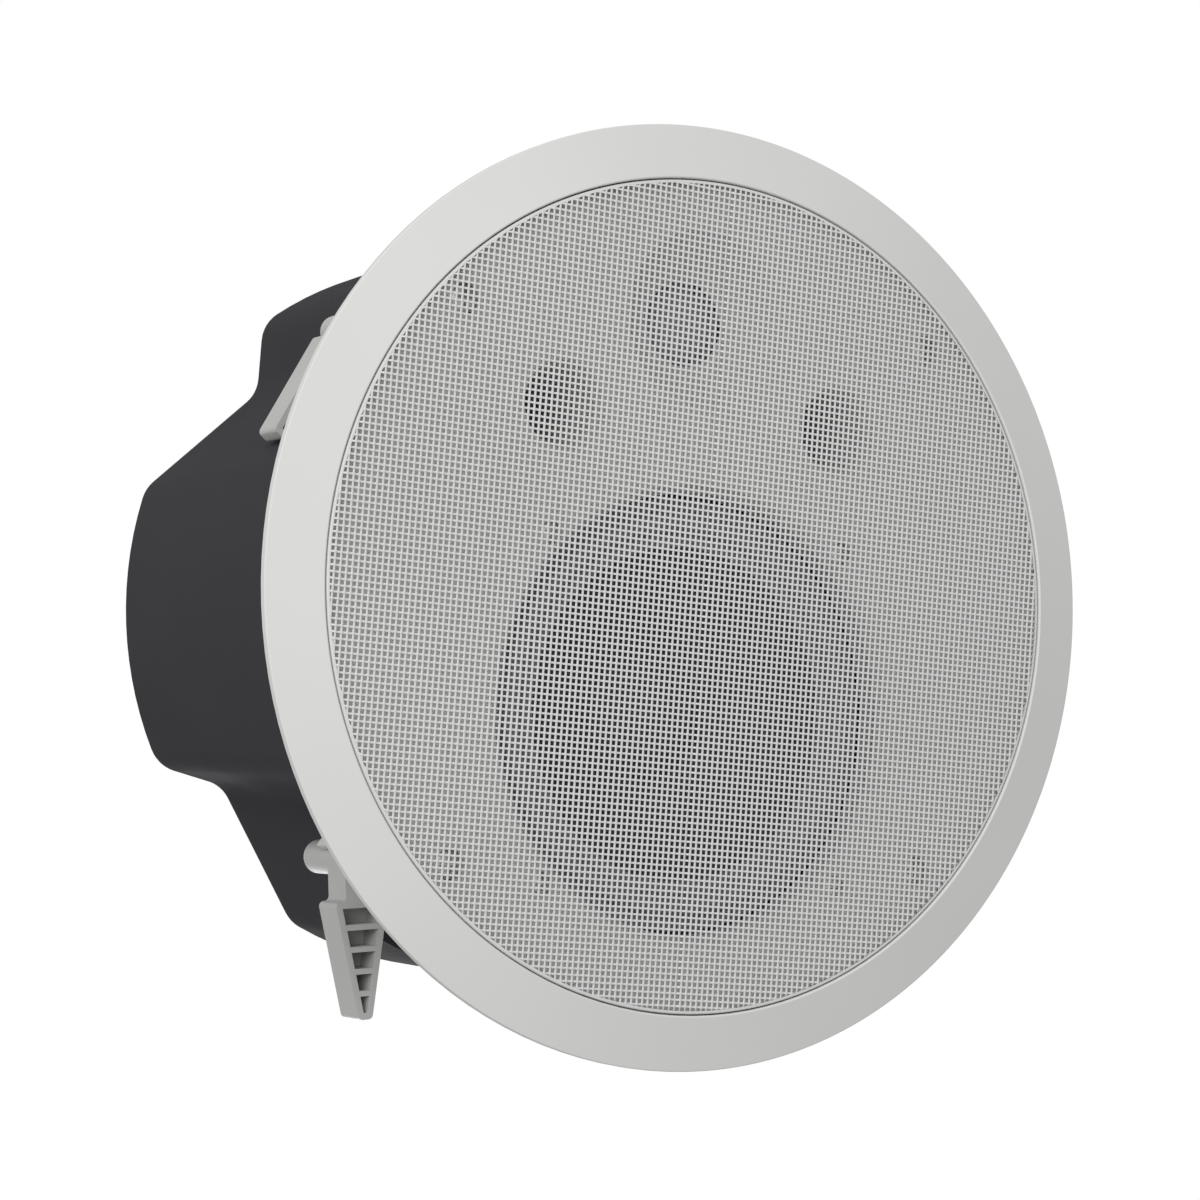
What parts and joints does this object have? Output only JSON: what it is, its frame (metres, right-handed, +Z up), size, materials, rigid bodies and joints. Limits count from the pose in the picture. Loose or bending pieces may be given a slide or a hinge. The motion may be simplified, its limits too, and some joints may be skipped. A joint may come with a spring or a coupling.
{
  "type": "ceiling speaker",
  "caption": "Round recessed ceiling speaker with a white bezel and perforated grille, a lobed black back can and swing-out clamps that grip the ceiling panel.",
  "frame": {"origin": "Centre of the flange's ceiling face, on the collar's axis.", "axes": "+Z points up into the ceiling void, so the grille faces down; -Y points to the tweeter's side; +X is the right-hand side seen from below."},
  "size_m": [0.304, 0.304, 0.1926],
  "materials": {
    "white_bezel": "satin white moulded plastic",
    "white_grille": "white powder-coated perforated steel",
    "black_can": "black moulded plastic with a light satin sheen",
    "grey_clamp": "light grey moulded nylon",
    "black_foam": "black closed-cell foam",
    "plated_steel": "zinc-plated steel",
    "black_basket": "black painted pressed steel",
    "surround_rubber": "matt dark grey rubber",
    "port_plastic": "grey moulded plastic",
    "cone_paper": "black treated paper pulp",
    "copper_winding": "lacquered copper wire",
    "damper_cloth": "resin-dipped woven cloth",
    "ferrite": "grey-black sintered ferrite",
    "black_plastic": "black moulded plastic",
    "dome_silk": "coated dark grey silk",
    "brass_insert": "plain turned brass",
    "circuit_board": "green laminate",
    "capacitor_sleeve": "yellow film sleeve"
  },
  "bodies": {
    "root": {"front_frame": "white_bezel", "grille": "white_grille", "back_can": "black_can", "can_gasket": "black_foam", "woofer_gasket": "black_foam", "can_screws": "plated_steel", "woofer_screws": "plated_steel", "board_screws": "plated_steel", "terminal_screws": "plated_steel", "woofer_basket": "black_basket", "woofer_surround": "surround_rubber", "spider": "damper_cloth", "top_plate": "plated_steel", "woofer_magnet": "ferrite", "pole_yoke": "plated_steel", "tweeter_ring": "black_plastic", "tweeter_surround": "dome_silk", "tweeter_motor": "plated_steel", "port_tube_left": "port_plastic", "port_tube_right": "port_plastic", "crossover_board": "circuit_board", "crossover_inductor": "copper_winding", "crossover_capacitors": "capacitor_sleeve", "terminal_block": "black_plastic"},
    "woofer_diaphragm": {"woofer_cone": "cone_paper", "dust_cap": "cone_paper", "voice_coil": "copper_winding"},
    "tweeter_diaphragm": {"tweeter_dome": "dome_silk", "tweeter_coil": "copper_winding"},
    "upper_left_screw": {"clamp_screw_upper_left": "plated_steel"},
    "upper_left_nut": {"clamp_insert_upper_left": "brass_insert"},
    "upper_left_arm": {"clamp_arm_upper_left": "grey_clamp"},
    "upper_right_screw": {"clamp_screw_upper_right": "plated_steel"},
    "upper_right_nut": {"clamp_insert_upper_right": "brass_insert"},
    "upper_right_arm": {"clamp_arm_upper_right": "grey_clamp"},
    "lower_right_screw": {"clamp_screw_lower_right": "plated_steel"},
    "lower_right_nut": {"clamp_insert_lower_right": "brass_insert"},
    "lower_right_arm": {"clamp_arm_lower_right": "grey_clamp"},
    "lower_left_screw": {"clamp_screw_lower_left": "plated_steel"},
    "lower_left_nut": {"clamp_insert_lower_left": "brass_insert"},
    "lower_left_arm": {"clamp_arm_lower_left": "grey_clamp"}
  },
  "joints": [
    {"name": "woofer_travel", "type": "slide", "parent": "root", "child": "woofer_diaphragm", "axis": [0, 0, 1], "range_m": [-0.004, 0.004], "stiffness_N_per_m": 600, "deforming": ["woofer_surround", "spider"]},
    {"name": "tweeter_travel", "type": "slide", "parent": "root", "child": "tweeter_diaphragm", "axis": [0, 0, 1], "range_m": [-0.0005, 0.0005], "stiffness_N_per_m": 200, "deforming": ["tweeter_surround"]},
    {"name": "upper_left_clamp_travel", "type": "slide", "parent": "root", "child": "upper_left_nut", "axis": [0, 0, -1], "range_m": [0, 0.05]},
    {"name": "upper_left_clamp_swing", "type": "hinge", "parent": "upper_left_nut", "child": "upper_left_arm", "pos_m": [-0.08733, -0.08733, 0], "axis": [0, 0, 1], "range_deg": [0, 95]},
    {"name": "upper_left_screw_turn", "type": "hinge", "parent": "root", "child": "upper_left_screw", "pos_m": [-0.08733, -0.08733, 0], "axis": [0, 0, 1], "continuous": true},
    {"name": "upper_right_clamp_travel", "type": "slide", "parent": "root", "child": "upper_right_nut", "axis": [0, 0, -1], "range_m": [0, 0.05]},
    {"name": "upper_right_clamp_swing", "type": "hinge", "parent": "upper_right_nut", "child": "upper_right_arm", "pos_m": [0.08733, -0.08733, 0], "axis": [0, 0, 1], "range_deg": [0, 95]},
    {"name": "upper_right_screw_turn", "type": "hinge", "parent": "root", "child": "upper_right_screw", "pos_m": [0.08733, -0.08733, 0], "axis": [0, 0, 1], "continuous": true},
    {"name": "lower_right_clamp_travel", "type": "slide", "parent": "root", "child": "lower_right_nut", "axis": [0, 0, -1], "range_m": [0, 0.05]},
    {"name": "lower_right_clamp_swing", "type": "hinge", "parent": "lower_right_nut", "child": "lower_right_arm", "pos_m": [0.08733, 0.08733, 0], "axis": [0, 0, 1], "range_deg": [0, 95]},
    {"name": "lower_right_screw_turn", "type": "hinge", "parent": "root", "child": "lower_right_screw", "pos_m": [0.08733, 0.08733, 0], "axis": [0, 0, 1], "continuous": true},
    {"name": "lower_left_clamp_travel", "type": "slide", "parent": "root", "child": "lower_left_nut", "axis": [0, 0, -1], "range_m": [0, 0.05]},
    {"name": "lower_left_clamp_swing", "type": "hinge", "parent": "lower_left_nut", "child": "lower_left_arm", "pos_m": [-0.08733, 0.08733, 0], "axis": [0, 0, 1], "range_deg": [-46, 49]},
    {"name": "lower_left_screw_turn", "type": "hinge", "parent": "root", "child": "lower_left_screw", "pos_m": [-0.08733, 0.08733, 0], "axis": [0, 0, 1], "continuous": true}
  ],
  "couplings": [
    {"joint": "upper_left_screw_turn", "follows": "upper_left_clamp_travel", "rad_per_m": 3141.6},
    {"joint": "upper_right_screw_turn", "follows": "upper_right_clamp_travel", "rad_per_m": 3141.6},
    {"joint": "lower_right_screw_turn", "follows": "lower_right_clamp_travel", "rad_per_m": 3141.6},
    {"joint": "lower_left_screw_turn", "follows": "lower_left_clamp_travel", "rad_per_m": 3141.6}
  ]
}
